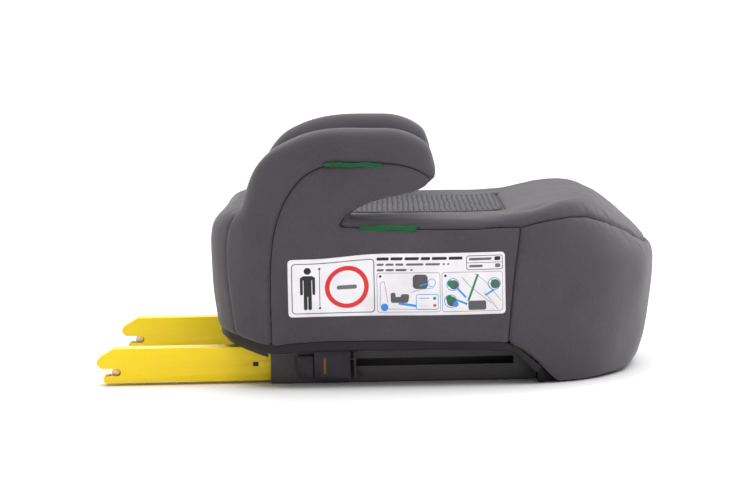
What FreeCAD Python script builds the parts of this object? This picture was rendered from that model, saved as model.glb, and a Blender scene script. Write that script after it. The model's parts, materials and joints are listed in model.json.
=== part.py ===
"""Backless booster seat with two rigid sliding anchor connectors.

Frame, millimetres: +X is where the seated child faces, +Y is the child's left, +Z is up.
The origin is on the floor, midway along the overall length, on the mid plane.
"""
import FreeCAD, Part
import math
import os
import Sketcher

RIGHT, LEFT = -1, 1
SIDES = {"right": RIGHT, "left": LEFT}

DIMENSIONS = {
    # overall
    "front_x": 257.0, "back_x": -151.0, "seat_width": 424.0, "seat_top": 153.0,
    "cover_wall": 14.0, "rear_radius": 85.0, "front_radius": 150.0, "hem_level": 43.0,
    # base shell
    "base_wall": 3.0, "plate_bottom": 37.0, "plate_top": 41.0, "skirt_bottom": 36.0,
    "foot_x": 146.0, "foot_wall_width": 367.0, "core_bottom": 43.2, "core_top": 140.0,
    # arm rests
    "armrest_top": 233.0, "armrest_thick": 64.0, "armrest_core_thick": 36.0,
    # rails
    "connector_spacing": 280.0, "rail_back": -97.0, "rail_front": 143.0, "rail_width": 36.0,
    "rail_bore": 26.0, "rail_floor": 2.6, "rail_roof": 34.4, "slot_low": 15.0, "slot_high": 22.0,
    "slot_back": -72.0, "slot_front": 125.0,
    # connector arms
    "tip_x": -257.8, "arm_width": 25.0, "arm_bottom": 3.0, "arm_top": 34.0, "arm_end": -20.0,
    "throat_low": 9.0, "throat_high": 16.0, "throat_end": -235.0,
    "pivot_x": -205.0, "pivot_z": 23.5, "pivot_radius": 2.5, "nose_x": -240.0, "nose_z": 12.2,
    "nose_radius": 4.0, "pawl_x": -45.0, "pawl_pitch": 15.0,
    # carriage
    "carriage_back": -57.0, "carriage_front": -24.0, "carriage_bottom": 4.0, "carriage_top": 30.0,
    "carriage_face": 27.5,
}

doc = FreeCAD.newDocument("booster_seat")
sheet = doc.addObject("Spreadsheet::Sheet", "dims")
for row, (alias, value) in enumerate(DIMENSIONS.items(), start=1):
    sheet.set("A%d" % row, str(value))
    sheet.setAlias("A%d" % row, alias)
doc.recompute()


class Size:
    """A length that knows its value and the sheet expression that drives it."""

    def __init__(self, value, text):
        self.value = value
        self.text = text

    def __add__(self, other):
        other = size(other)
        return Size(self.value + other.value, "(%s + %s)" % (self.text, other.text))

    def __sub__(self, other):
        other = size(other)
        return Size(self.value - other.value, "(%s - %s)" % (self.text, other.text))

    def __mul__(self, factor):
        return Size(self.value * factor, "(%s * %s)" % (self.text, factor))

    def __truediv__(self, divisor):
        return Size(self.value / divisor, "(%s / %s)" % (self.text, divisor))

    def __radd__(self, other):
        return size(other) + self

    def __rsub__(self, other):
        return size(other) - self

    def __neg__(self):
        return self * -1


def size(value):
    """A plain number, the name of a sheet cell or a Size, as a Size."""
    if isinstance(value, Size):
        return value
    if isinstance(value, str):
        return Size(float(DIMENSIONS[value]), "dims.%s" % value)
    return Size(float(value), repr(float(value)))


def bind(obj, prop, value):
    """Drive a property of an object from the sheet."""
    obj.setExpression(prop, size(value).text)


# ---------------------------------------------------------------- sketches and features

def new_body(name, y_place=None):
    body = doc.addObject("PartDesign::Body", name)
    body.Label = name
    doc.recompute()
    if y_place is not None:
        bind(body, "Placement.Base.y", y_place)
    return body


def new_sketch(body, role, offset=0):
    """A sketch on an origin plane of the body, moved along the plane's normal by offset."""
    sketch = body.newObject("Sketcher::SketchObject", "%s_sketch" % body.Name)
    origin_plane = [f for f in body.Origin.OriginFeatures if f.Role == role][0]
    sketch.AttachmentSupport = [(origin_plane, "")]
    sketch.MapMode = "FlatFace"
    bind(sketch, "AttachmentOffset.Base.z", offset)
    return sketch


def place_point(sketch, geometry, position, x, y):
    """Hold a point of the sketch at two sizes from the sketch's origin."""
    for kind, value in (("DistanceX", x), ("DistanceY", y)):
        if abs(value.value) < 1e-9:
            axis = -2 if kind == "DistanceX" else -1
            sketch.addConstraint(Sketcher.Constraint("PointOnObject", geometry, position, axis))
            continue
        index = sketch.addConstraint(
            Sketcher.Constraint(kind, -1, 1, geometry, position, value.value))
        sketch.setExpression("Constraints[%d]" % index, value.text)


def outline(sketch, corners):
    """A closed outline of straight lines. A corner is (x, y) or (x, y, radius)."""
    corners = [tuple(size(v) for v in corner) for corner in corners]
    flat = [FreeCAD.Vector(c[0].value, c[1].value, 0) for c in corners]
    count = len(corners)
    ends = []
    for i, corner in enumerate(corners):
        here = flat[i]
        if len(corner) == 2:
            ends.append((here, here, None))
            continue
        back = (flat[i - 1] - here).normalize()
        ahead = (flat[(i + 1) % count] - here).normalize()
        half_angle = back.getAngle(ahead) / 2
        radius = corner[2].value
        reach = radius / math.tan(half_angle)
        middle = here + (back + ahead).normalize() * (radius / math.sin(half_angle) - radius)
        ends.append((here + back * reach, here + ahead * reach, middle))
    lines = []
    for i in range(count):
        segment = Part.LineSegment(ends[i][1], ends[(i + 1) % count][0])
        lines.append(sketch.addGeometry(segment, False))
    for i, corner in enumerate(corners):
        before, after = lines[i - 1], lines[i]
        if ends[i][2] is None:
            sketch.addConstraint(Sketcher.Constraint("Coincident", before, 2, after, 1))
            place_point(sketch, after, 1, corner[0], corner[1])
            continue
        arc = sketch.addGeometry(Part.Arc(ends[i][0], ends[i][2], ends[i][1]), False)
        forward = sketch.getPoint(arc, 1).distanceToPoint(ends[i][0]) < 1e-6
        first, last = (1, 2) if forward else (2, 1)
        sketch.addConstraint(Sketcher.Constraint("Tangent", before, 2, arc, first))
        sketch.addConstraint(Sketcher.Constraint("Tangent", after, 1, arc, last))
        index = sketch.addConstraint(Sketcher.Constraint("Radius", arc, corner[2].value))
        sketch.setExpression("Constraints[%d]" % index, corner[2].text)
        knot = sketch.addGeometry(Part.Point(flat[i]), True)
        place_point(sketch, knot, 1, corner[0], corner[1])
        sketch.addConstraint(Sketcher.Constraint("PointOnObject", knot, 1, before))
        sketch.addConstraint(Sketcher.Constraint("PointOnObject", knot, 1, after))


def rectangle(x_low, y_low, x_high, y_high, *radius):
    """The corners of a rectangle, each with the same radius if one is given."""
    return [(x_low, y_low) + radius, (x_high, y_low) + radius,
            (x_high, y_high) + radius, (x_low, y_high) + radius]


def circle(sketch, x, y, radius):
    x, y, radius = size(x), size(y), size(radius)
    ring = Part.Circle(FreeCAD.Vector(x.value, y.value, 0), FreeCAD.Vector(0, 0, 1), radius.value)
    index = sketch.addGeometry(ring, False)
    constraint = sketch.addConstraint(Sketcher.Constraint("Radius", index, radius.value))
    sketch.setExpression("Constraints[%d]" % constraint, radius.text)
    place_point(sketch, index, 3, x, y)


def feature(body, kind, sketch, length, symmetric=False, backwards=False):
    made = body.newObject("PartDesign::" + kind, "%s_%s" % (body.Name, kind.lower()))
    made.Profile = sketch
    made.SideType = "Symmetric" if symmetric else "One side"
    made.Reversed = backwards
    bind(made, "Length", length)
    sketch.Visibility = False
    doc.recompute()
    return made


def slab(body, role, shapes, low, high):
    """Add material between two levels along a plane's normal."""
    sketch = new_sketch(body, role, low)
    for corners in shapes:
        outline(sketch, corners)
    return feature(body, "Pad", sketch, size(high) - low)


def cut(body, role, shapes, low, high, circles=()):
    """Take material away between two levels along a plane's normal."""
    before = body.Shape.Volume
    sketch = new_sketch(body, role, low)
    for corners in shapes:
        outline(sketch, corners)
    for ring in circles:
        circle(sketch, *ring)
    made = feature(body, "Pocket", sketch, size(high) - low, backwards=True)
    assert body.Shape.Volume < before - 1e-6, "%s: the cut removes nothing" % body.Label
    return made


def crosswise(body, kind, shapes, width, circles=()):
    """Pad or pocket side-view outlines evenly about the body's own mid plane."""
    before = body.Shape.Volume if kind == "Pocket" else 0
    sketch = new_sketch(body, "XZ_Plane")
    for corners in shapes:
        outline(sketch, corners)
    for ring in circles:
        circle(sketch, *ring)
    made = feature(body, kind, sketch, width, symmetric=True)
    if kind == "Pocket":
        assert body.Shape.Volume < before - 1e-6, "%s: the pocket is empty" % body.Label
    return made


def side_slab(body, side, kind, corners, near, far, circles=()):
    """Pad or pocket a side-view outline from near to far, measured outward from the mid plane.

    The side view plane's normal is -Y, so outward is along it on the right and against it
    on the left.
    """
    before = body.Shape.Volume if kind == "Pocket" else 0
    low, high = (size(near), size(far)) if side == RIGHT else (-size(far), -size(near))
    sketch = new_sketch(body, "XZ_Plane", low)
    for ring in circles:
        circle(sketch, *ring)
    if corners:
        outline(sketch, corners)
    made = feature(body, kind, sketch, high - low, backwards=(kind == "Pocket"))
    if kind == "Pocket":
        assert body.Shape.Volume < before - 1e-6, "%s: the side pocket is empty" % body.Label
    return made


# ---------------------------------------------------------------- shared outlines

HALF_WIDTH = size("seat_width") / 2
INNER_BACK = size("back_x") + 13
INNER_FRONT = size("front_x") - 29
INNER_HALF = HALF_WIDTH - "cover_wall"
HALF_SPACING = size("connector_spacing") / 2


def plan(back, front, half_width, back_radius, front_radius):
    """The seat's outline from above."""
    return [(back, -half_width, back_radius), (front, -half_width, front_radius),
            (front, half_width, front_radius), (back, half_width, back_radius)]


def inner_plan(inset=0):
    """The outline that the shell, the core and the cover's inside share."""
    inset = size(inset)
    return plan(INNER_BACK + inset, INNER_FRONT - inset, INNER_HALF - inset,
                size("rear_radius") - 10 - inset, size("front_radius") - 10 - inset)


def armrest_core_outline():
    """Hook-shaped core of an arm rest, seen from the side."""
    top = size("armrest_top") - 14
    return [(-106, "core_top"), (-106, 178, 30), (-78, top, 24), (38, top, 12), (40, 200, 6),
            (-24, 171, 16), (-44, 160, 10), (-44, "core_top")]


# ---------------------------------------------------------------- soft seat and its core

def build_seat_core():
    body = new_body("seat_core")
    slab(body, "XY_Plane", [inner_plan()], "core_bottom", "core_top")


def build_seat_cover():
    """Padded cover: the seat's outer shape, hollow from below for the core and the shell."""
    body = new_body("seat_cover")
    top = size("seat_top")
    front = size("front_x")
    back = size("back_x")
    hem = size("hem_level")
    profile = [(back + 10, hem), (back, 100, 50), (back + 2, top, 22), (124, top, 50),
               (178, top + 15, 45), (front - 14, top - 3, 28), (front, 112, 30),
               (front, 88, 30), (front - 23, 0, 8), (165, 0), (114, hem)]
    crosswise(body, "Pad", [profile], "seat_width")
    trim = plan(back - 1, front, HALF_WIDTH, "rear_radius", "front_radius")
    frame = rectangle(back - 40, -HALF_WIDTH - 40, front + 40, HALF_WIDTH + 40)
    cut(body, "XY_Plane", [frame, trim], -5, 200)
    cut(body, "XY_Plane", [inner_plan()], -5, "core_top")
    inner = HALF_WIDTH + 2 - size("armrest_thick") / 2 - size("armrest_core_thick") / 2
    outer = inner + "armrest_core_thick"
    columns = [rectangle(-106, inner, -44, outer), rectangle(-106, -outer, -44, -inner)]
    cut(body, "XY_Plane", columns, size("core_top") - 1, 165)


def build_armrest(name, side):
    centre = (HALF_WIDTH + 2 - size("armrest_thick") / 2) * side
    pad = new_body("%s_armrest_pad" % name, centre)
    top = size("armrest_top")
    floor = size("seat_top")
    shape = [(-122, floor), (-118, 176, 30), (-94, top, 38), (30, top, 22), (57, 206, 14),
             (52, 184, 6), (-10, 163, 20), (-28, floor)]
    crosswise(pad, "Pad", [shape], "armrest_thick")
    grown = plan(size("back_x") - 3, size("front_x") + 2, HALF_WIDTH + 2,
                 size("rear_radius") + 2, size("front_radius") + 2)
    trim = [(x, y - centre, radius) for x, y, radius in grown]
    frame = rectangle(-400, -700, 400, 700)
    cut(pad, "XY_Plane", [frame, trim], 100, 300)
    crosswise(pad, "Pocket", [armrest_core_outline()], "armrest_core_thick")
    core = new_body("%s_armrest_core" % name, centre)
    crosswise(core, "Pad", [armrest_core_outline()], "armrest_core_thick")


def build_seat_insert():
    """Ribbed panel let into the top of the seat between the arm rests."""
    body = new_body("seat_insert")
    shape = [(-100, -130, 12), (108, -130, 12), (117, -60, 60), (117, 60, 60), (108, 130, 12),
             (-100, 130, 12)]
    slab(body, "XY_Plane", [shape], "seat_top", size("seat_top") + 2)


def build_belt_guides(name, side):
    """Coloured edges that show where the lap belt goes."""
    upper = new_body("%s_armrest_belt_guide" % name)
    side_slab(upper, side, "Pad", rectangle(-42, 200, 8, 204, 1.5), HALF_WIDTH + 2,
              HALF_WIDTH + 5)
    lower = new_body("%s_seat_belt_guide" % name)
    side_slab(lower, side, "Pad", rectangle(-13, 143.5, 39, 149, 2), HALF_WIDTH, HALF_WIDTH + 4)


def build_side_label():
    body = new_body("side_label")
    side_slab(body, RIGHT, "Pad", rectangle(-77, 66, 118, 122, 6), HALF_WIDTH, HALF_WIDTH + 0.6)


# ---------------------------------------------------------------- base and rails

SCREW_X = (-85.0, 125.0)
SCREW_OFFSET = 15.5
SCREW_RADIUS = 1.5


def screw_places():
    return [(x, HALF_SPACING * side + offset) for side in SIDES.values() for x in SCREW_X
            for offset in (-SCREW_OFFSET, SCREW_OFFSET)]


def build_base_shell():
    """Moulded tray under the seat: a plate, a skirt, a rising tail and a box-shaped front foot."""
    body = new_body("base_shell")
    plate = size("plate_top")
    profile = [(INNER_BACK, plate), (INNER_BACK, plate - 1), (-98, 28), (-97, "skirt_bottom"),
               ("foot_x", "skirt_bottom"), ("foot_x", 0), (INNER_FRONT, 0), (INNER_FRONT, plate)]
    crosswise(body, "Pad", [profile], INNER_HALF * 2)
    frame = rectangle(-300, -300, 300, 300)
    cut(body, "XY_Plane", [frame, inner_plan()], -5, 60)
    cut(body, "XY_Plane", [inner_plan("base_wall")], -5, "plate_bottom")
    wall_half = size("foot_wall_width") / 2
    cross_wall = rectangle(-wall_half, 0, wall_half, size("plate_bottom") + 1)
    slab(body, "YZ_Plane", [cross_wall], "foot_x", size("foot_x") + "base_wall")
    holes = [(x, y, SCREW_RADIUS + 0.1) for x, y in screw_places()]
    cut(body, "XY_Plane", [], size("plate_bottom") - 1, size("plate_top") + 1, holes)


def build_rail_screws():
    """Pan head screws that hold the rails up against the plate, as one set."""
    solids = []
    for index, (x, y) in enumerate(screw_places()):
        parts = []
        for kind, radius, low, high in (("head", 3.2, size("plate_top"), size("plate_top") + 2.2),
                                        ("shank", SCREW_RADIUS, size(29), size("plate_top"))):
            cylinder = doc.addObject("Part::Cylinder", "screw_%s_%d" % (kind, index))
            bind(cylinder, "Radius", radius)
            bind(cylinder, "Height", high - low)
            bind(cylinder, "Placement.Base.x", x)
            bind(cylinder, "Placement.Base.y", y)
            bind(cylinder, "Placement.Base.z", low)
            parts.append(cylinder)
        screw = doc.addObject("Part::Fuse", "screw_%d" % index)
        screw.Base, screw.Tool = parts
        solids.append(screw)
    group = doc.addObject("Part::Compound", "rail_screws")
    group.Label = "rail_screws"
    group.Links = solids


def build_rail(name, side):
    rail = new_body("%s_rail" % name, HALF_SPACING * side)
    half = size("rail_width") / 2
    bore = size("rail_bore") / 2
    shell = rectangle(-half, 0, half, "plate_bottom", 2)
    hollow = rectangle(-bore, "rail_floor", bore, "rail_roof")
    slab(rail, "YZ_Plane", [shell, hollow], "rail_back", "rail_front")
    slot = rectangle("slot_back", "slot_low", "slot_front", "slot_high")
    side_slab(rail, side, "Pocket", slot, bore - 1, half + 1)
    steps = [(size("pawl_x") + size("pawl_pitch") * k, 0, 2.4) for k in range(10)]
    cut(rail, "XY_Plane", [], size("rail_roof") - 1, size("plate_bottom") + 1, steps)
    screws = [(x, offset, SCREW_RADIUS) for x in SCREW_X
              for offset in (-SCREW_OFFSET, SCREW_OFFSET)]
    cut(rail, "XY_Plane", [], 28, size("plate_bottom") + 1, screws)

    cap = new_body("%s_rail_cap" % name, HALF_SPACING * side)
    slab(cap, "YZ_Plane", [shell], "rail_front", size("rail_front") + 2.5)
    plug = rectangle(-bore + 0.2, size("rail_floor") + 0.2, bore - 0.2, size("rail_roof") - 0.2)
    slab(cap, "YZ_Plane", [plug], size("rail_front") - 8, "rail_front")


# ---------------------------------------------------------------- connector arms

BUTTON_WINDOW = rectangle(-70, 15.5, -58, 21.5)
CLIP_WINDOW = rectangle(-113.5, 16, -108.5, 20)


def build_arm_cover(name, side):
    """Coloured plastic sleeve with the anchor throat in its tip."""
    body = new_body("%s_arm_cover" % name, HALF_SPACING * side)
    tip, top, bottom = size("tip_x"), size("arm_top"), size("arm_bottom")
    low, high, end = size("throat_low"), size("throat_high"), size("throat_end")
    shape = [(tip + 17, top), (tip, 21, 1.5), (tip + 5, high), (end, high, 3.4), (end, low, 3.4),
             (tip + 7, low, 1), (tip + 7, bottom, 2), ("arm_end", bottom), ("arm_end", top)]
    crosswise(body, "Pad", [shape], "arm_width")
    hollow = [(tip + 18, top - 3), (tip + 5, 21), (tip + 7.4, high - 0.1), (tip + 11, low - 0.1),
              (tip + 11, bottom + 3), (size("arm_end") + 5, bottom + 3),
              (size("arm_end") + 5, top - 3)]
    crosswise(body, "Pocket", [hollow], 17)
    side_slab(body, side, "Pocket", BUTTON_WINDOW, 6, 14)
    crosswise(body, "Pocket", [CLIP_WINDOW], 40)
    cut(body, "XY_Plane", [], 28, size("arm_top") + 1, [("pawl_x", 0, 2.4)])


def build_window_clip(name, side):
    """Snap tabs that fill the windows in both cheeks of the sleeve."""
    tabs = []
    for index, cheek in enumerate((-1, 1)):
        box = doc.addObject("Part::Box", "%s_tab_%d" % (name, index))
        bind(box, "Length", 5)
        bind(box, "Width", 3.7)
        bind(box, "Height", 4)
        bind(box, "Placement.Base.x", -113.5)
        low_edge = HALF_SPACING * side + (8.5 if cheek == 1 else -8.5 - 3.7)
        bind(box, "Placement.Base.y", low_edge)
        bind(box, "Placement.Base.z", 16)
        tabs.append(box)
    group = doc.addObject("Part::Compound", "%s_window_clip" % name)
    group.Label = "%s_window_clip" % name
    group.Links = tabs


def build_latch_frame(name, side):
    """Folded steel channel inside the sleeve. It carries the hook's pin."""
    body = new_body("%s_latch_frame" % name, HALF_SPACING * side)
    end = size("throat_end") + 1
    high = size("throat_high") + 0.3
    low = size("throat_low") - 0.4
    shape = [(-240.5, 29.8), (-250, 22), (-247, high), (end, high, 3), (end, low, 3),
             (-246, low), (-246, 6.3), (-30, 6.3), (-30, 30.5)]
    crosswise(body, "Pad", [shape], 16.6)
    crosswise(body, "Pocket", [rectangle(-260, 7.9, -20, 40)], 10.4)
    crosswise(body, "Pad", [rectangle(-178, 7, -172, 16)], 11)
    side_slab(body, side, "Pocket", BUTTON_WINDOW, 4, 10)
    crosswise(body, "Pocket", [], 40, [("pivot_x", "pivot_z", "pivot_radius")])


def build_hook(name, side):
    """Hook that swings down in front of the anchor bar, and the pin it turns on."""
    hook = new_body("%s_latch_hook" % name, HALF_SPACING * side)
    shape = [(-198, 28.5), (-212, 29), (-239.5, 30), (-250.6, 21.6), (-249.5, 18.4),
             (-245.5, 17, 1), (-242, 25, 2), (-212, 25, 3), (-212, 17), (-198, 17)]
    crosswise(hook, "Pad", [shape], 5)
    crosswise(hook, "Pocket", [], 20, [("pivot_x", "pivot_z", size("pivot_radius") + 0.05)])
    pin = new_body("%s_hook_pin" % name, HALF_SPACING * side)
    crosswise(pin, "Pad", [], 16.6, [("pivot_x", "pivot_z", "pivot_radius")])


def build_trigger(name, side):
    """Round-nosed plunger that the anchor bar pushes in, and its coil spring."""
    body = new_body("%s_trigger" % name, HALF_SPACING * side)
    crosswise(body, "Pad", [], 9.6, [("nose_x", "nose_z", "nose_radius")])
    crosswise(body, "Pad", [rectangle("nose_x", 9.5, -190, 15)], 6)

    spring = doc.addObject("Part::Feature", "%s_trigger_spring" % name)
    spring.Label = spring.Name
    turns, reach, coil_radius, wire_radius = 5, 11.0, 2.4, 0.45
    helix = Part.makeHelix(reach / turns, reach, coil_radius)
    start = FreeCAD.Vector(coil_radius, 0, 0)
    slope = FreeCAD.Vector(0, 2 * math.pi * coil_radius, reach / turns)
    ring = Part.Wire(Part.makeCircle(wire_radius, start, slope))
    spring.Shape = Part.Wire(helix).makePipeShell([ring], True, True)
    turn = FreeCAD.Rotation(FreeCAD.Vector(0, 1, 0), 90)
    middle = HALF_SPACING.value * side
    spring.Placement = FreeCAD.Placement(
        FreeCAD.Vector(-189.5, middle, DIMENSIONS["nose_z"]), turn)


def build_carriage(name, side):
    """Slide on the outside of the rail that carries the two buttons and the indicator."""
    body = new_body("%s_carriage" % name, HALF_SPACING * side)
    back, front = size("carriage_back"), size("carriage_front")
    low, high, face = size("carriage_bottom"), size("carriage_top"), size("carriage_face")
    inside = size("rail_width") / 2 + 0.4
    side_slab(body, side, "Pad", rectangle(back, low, front, high, 2), inside, face)
    web = rectangle(back, size("slot_low") + 0.4, front - 2, size("slot_high") - 0.4)
    side_slab(body, side, "Pad", web, size("arm_width") / 2, inside)
    hollow = rectangle(back - 1, low + 1.5, front - 1.5, high - 1.5)
    side_slab(body, side, "Pocket", hollow, inside + 1.6, face - 1.5)
    side_slab(body, side, "Pocket", rectangle(-49, 9, -46, 24), face - 2, face + 1)
    side_slab(body, side, "Pocket", rectangle(front - 3, 12, front + 1, 22), 21, 24)


def build_indicator(name, side):
    """Two-coloured flag behind the carriage's window."""
    for colour, low, high in (("red", -51.0, -47.5), ("green", -47.5, -44.0)):
        flag = new_body("%s_indicator_%s" % (name, colour), HALF_SPACING * side)
        side_slab(flag, side, "Pad", rectangle(low, 7.5, high, 25.5), 24.9, 25.8)


def build_buttons(name, side):
    """Tab that frees the hook, with its rod, and lip that frees the length lock."""
    centre = HALF_SPACING * side
    tab = new_body("%s_hook_button" % name, centre)
    shape = [(-73, 6, 3), (-57.6, 6), (-57.6, 26), (-73, 26, 3)]
    side_slab(tab, side, "Pad", shape, 20.5, 25.5)
    side_slab(tab, side, "Pad", rectangle(-58, 8, -52, 24), 20.5, 24.4)
    side_slab(tab, side, "Pad", rectangle(-68, 16.5, -64, 20.5), 2, 21)

    rod = new_body("%s_release_rod" % name, centre)
    crosswise(rod, "Pad", [rectangle(-193, 17.5, -64, 19.5)], 4)

    lip = new_body("%s_length_button" % name, centre)
    side_slab(lip, side, "Pad", rectangle(-21, 4.5, -17, 29.5), 18.6, 27)
    side_slab(lip, side, "Pad", rectangle(-40, 12.5, -20, 21.5), 21.4, 23.6)
    side_slab(lip, side, "Pocket", [], 17, 30, [(24.2, 17, 43)])


def build_lock_pawl(name, side):
    """Steel pin that stands under the rail's row of holes."""
    body = new_body("%s_lock_pawl" % name, HALF_SPACING * side)
    sketch = new_sketch(body, "XY_Plane", 12)
    circle(sketch, "pawl_x", 0, 2)
    feature(body, "Pad", sketch, size("rail_roof") - 0.3 - 12)


# ---------------------------------------------------------------- build, test and write

build_seat_core()
build_seat_cover()
build_seat_insert()
build_side_label()
build_base_shell()
build_rail_screws()
for side_name, side_sign in SIDES.items():
    build_armrest(side_name, side_sign)
    build_belt_guides(side_name, side_sign)
    build_rail(side_name, side_sign)
    build_arm_cover(side_name, side_sign)
    build_window_clip(side_name, side_sign)
    build_latch_frame(side_name, side_sign)
    build_hook(side_name, side_sign)
    build_trigger(side_name, side_sign)
    build_carriage(side_name, side_sign)
    build_indicator(side_name, side_sign)
    build_buttons(side_name, side_sign)
    build_lock_pawl(side_name, side_sign)
doc.recompute()

for item in doc.Objects:
    assert not {"Invalid", "Error"} & set(item.State), "%s failed: %s" % (item.Label, item.State)

SUB_PART_TYPES = ("PartDesign::Body", "Part::Compound", "Part::Feature")
sub_parts = [item for item in doc.Objects if item.TypeId in SUB_PART_TYPES]
os.makedirs("parts", exist_ok=True)
whole = FreeCAD.BoundBox()
for item in sub_parts:
    shape = item.Shape
    assert not shape.isNull() and shape.isValid() and shape.Solids, "%s is not sound" % item.Label
    shape.exportStep("parts/%s.step" % item.Label)
    whole.add(shape.BoundBox)
    print("%-28s %2d solids %10.0f mm3" % (item.Label, len(shape.Solids), shape.Volume))
print(len(sub_parts), "sub-parts, box", whole)
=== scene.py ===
import json

import bmesh
import bpy
import numpy as np
from mathutils import Matrix, Vector
from mathutils.bvhtree import BVHTree
from mathutils.kdtree import KDTree

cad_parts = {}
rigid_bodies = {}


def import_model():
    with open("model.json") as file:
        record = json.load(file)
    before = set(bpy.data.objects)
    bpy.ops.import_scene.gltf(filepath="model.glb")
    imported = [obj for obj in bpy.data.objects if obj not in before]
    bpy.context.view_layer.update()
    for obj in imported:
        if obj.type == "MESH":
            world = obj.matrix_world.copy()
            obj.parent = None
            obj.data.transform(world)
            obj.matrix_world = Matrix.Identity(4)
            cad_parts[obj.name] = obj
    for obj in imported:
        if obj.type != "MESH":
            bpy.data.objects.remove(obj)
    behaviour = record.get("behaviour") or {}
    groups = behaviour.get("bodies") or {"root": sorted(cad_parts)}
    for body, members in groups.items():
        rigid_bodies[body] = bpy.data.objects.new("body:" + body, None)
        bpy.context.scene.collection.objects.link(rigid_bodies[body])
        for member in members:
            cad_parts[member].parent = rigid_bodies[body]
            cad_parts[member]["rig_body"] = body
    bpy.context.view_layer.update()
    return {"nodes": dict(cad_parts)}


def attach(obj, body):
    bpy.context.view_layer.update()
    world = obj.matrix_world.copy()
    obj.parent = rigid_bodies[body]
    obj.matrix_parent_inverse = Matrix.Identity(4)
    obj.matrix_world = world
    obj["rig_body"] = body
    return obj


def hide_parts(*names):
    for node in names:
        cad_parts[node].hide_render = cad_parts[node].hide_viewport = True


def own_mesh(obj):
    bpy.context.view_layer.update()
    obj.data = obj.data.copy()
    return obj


for thing in list(bpy.data.objects):
    bpy.data.objects.remove(thing)
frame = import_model()
nodes = frame["nodes"]
MM = 0.001
SIDES = {"right": -1, "left": 1}


# ---------------------------------------------------------------- lines and distances, in millimetres

def smooth_line(points, step=3.0):
    """A curve through the points, with a point about every step millimetres."""
    p = np.array(points, float)
    p = np.vstack([2 * p[0] - p[1], p, 2 * p[-1] - p[-2]])
    out = []
    for a, b, c, d in zip(p[:-3], p[1:-2], p[2:-1], p[3:]):
        spans = [max(np.linalg.norm(v - u), 1e-6) for u, v in ((a, b), (b, c), (c, d))]
        knots = np.cumsum([0.0] + [span ** 0.5 for span in spans])
        count = max(2, int(np.ceil(np.linalg.norm(c - b) / step)) + 1)
        t = np.linspace(knots[1], knots[2], count)[:-1, None]

        def between(u, v, i, j):
            span = knots[j] - knots[i]
            return (knots[j] - t) / span * u + (t - knots[i]) / span * v

        ab, bc, cd = between(a, b, 0, 1), between(b, c, 1, 2), between(c, d, 2, 3)
        out.append(between(between(ab, bc, 0, 2), between(bc, cd, 1, 3), 1, 2))
    return np.vstack(out + [p[-2:-1]])


def height_on(line, x):
    """A line's second coordinate where its first one is x."""
    return np.interp(x, line[:, 0], line[:, 1])


def running_mean(values, reach):
    """Each value averaged with its neighbours up to reach away. The ends are held."""
    width = 2 * reach + 1
    return np.convolve(np.pad(values, reach, mode="edge"), np.ones(width) / width, "valid")


def distance_to_line(line, u, v):
    """Distance from each point (u, v) to an open line."""
    best = np.full(np.shape(u), np.inf)
    for a, b in zip(line[:-1], line[1:]):
        edge = b - a
        length = max(float(edge @ edge), 1e-12)
        t = np.clip(((u - a[0]) * edge[0] + (v - a[1]) * edge[1]) / length, 0, 1)
        best = np.minimum(best, (u - a[0] - t * edge[0]) ** 2 + (v - a[1] - t * edge[1]) ** 2)
    return np.sqrt(best)


def distance_to_shape(line, u, v):
    """Distance to a closed outline, negative inside it."""
    ring = np.vstack([line, line[:1]])
    inside = np.zeros(np.shape(u), bool)
    for a, b in zip(ring[:-1], ring[1:]):
        if a[1] != b[1]:
            crosses = (a[1] > v) != (b[1] > v)
            inside ^= crosses & (u < (b[0] - a[0]) * (v - a[1]) / (b[1] - a[1]) + a[0])
    return np.where(inside, -1, 1) * distance_to_line(ring, u, v)


def distance_to_wall(line, depth, z):
    """Distance to a wall drawn as (depth, z) from the bottom up, negative on its deep side."""
    wall = np.interp(z, line[:, 1], line[:, 0])
    return np.where(depth > wall, -1, 1) * distance_to_line(line, depth, z)


def round_max(a, b, radius):
    """The common part of two solids, with its edge rounded."""
    u, v = np.maximum(radius + a, 0), np.maximum(radius + b, 0)
    return np.minimum(-radius, np.maximum(a, b)) + np.sqrt(u * u + v * v)


def round_min(a, b, radius):
    """Two solids joined, with a fillet between them."""
    return -round_max(-a, -b, radius)


def unit(vectors):
    """Each row, made 1 long."""
    return vectors / np.maximum(np.linalg.norm(vectors, axis=1), 1e-9)[:, None]


def as_rows(*grids):
    """Grids of coordinates as one row for each point."""
    return np.column_stack([grid.ravel() for grid in grids])


def ramp(value, start, end):
    """0 at start and 1 at end, with a smooth way between them."""
    t = np.clip((value - start) / (end - start), 0, 1)
    return t * t * (3 - 2 * t)


def ripple(points, wavelength, seed, waves=7):
    """A smooth uneven field, about -1 to 1, at each point."""
    rng = np.random.default_rng(seed)
    total = np.zeros(len(points))
    for _ in range(waves):
        direction = rng.normal(size=3)
        direction *= 2 * np.pi / (wavelength * rng.uniform(0.7, 1.5) * np.linalg.norm(direction))
        total += np.sin(points @ direction + rng.uniform(0, 6.28))
    return total / waves ** 0.5


# ---------------------------------------------------------------- the shape of the padded seat

HALF_WIDTH = 212.0
REAR_X, FRONT_X = -151.0, 264.5
REAR_CORNER = 85.0
FRONT_START, FRONT_POWER = 110.0, 2.3
ARM_MIDDLE, ARM_HALF, ARM_SET_IN = 182.0, 31.0, 1.5
ARM_TOP_ROUND, ARM_UNDER_ROUND, ARM_OUTER_ROUND, ARM_FILLET = 27.0, 10.0, 12.0, 5.5
SIDE_TOP_ROUND, FRONT_TOP_ROUND, REAR_TOP_ROUND, HEM_ROUND = 15, 3, 4, 4.0
SKIRT = 9.0
FLOOR_OF_PAD = 41.5

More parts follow.
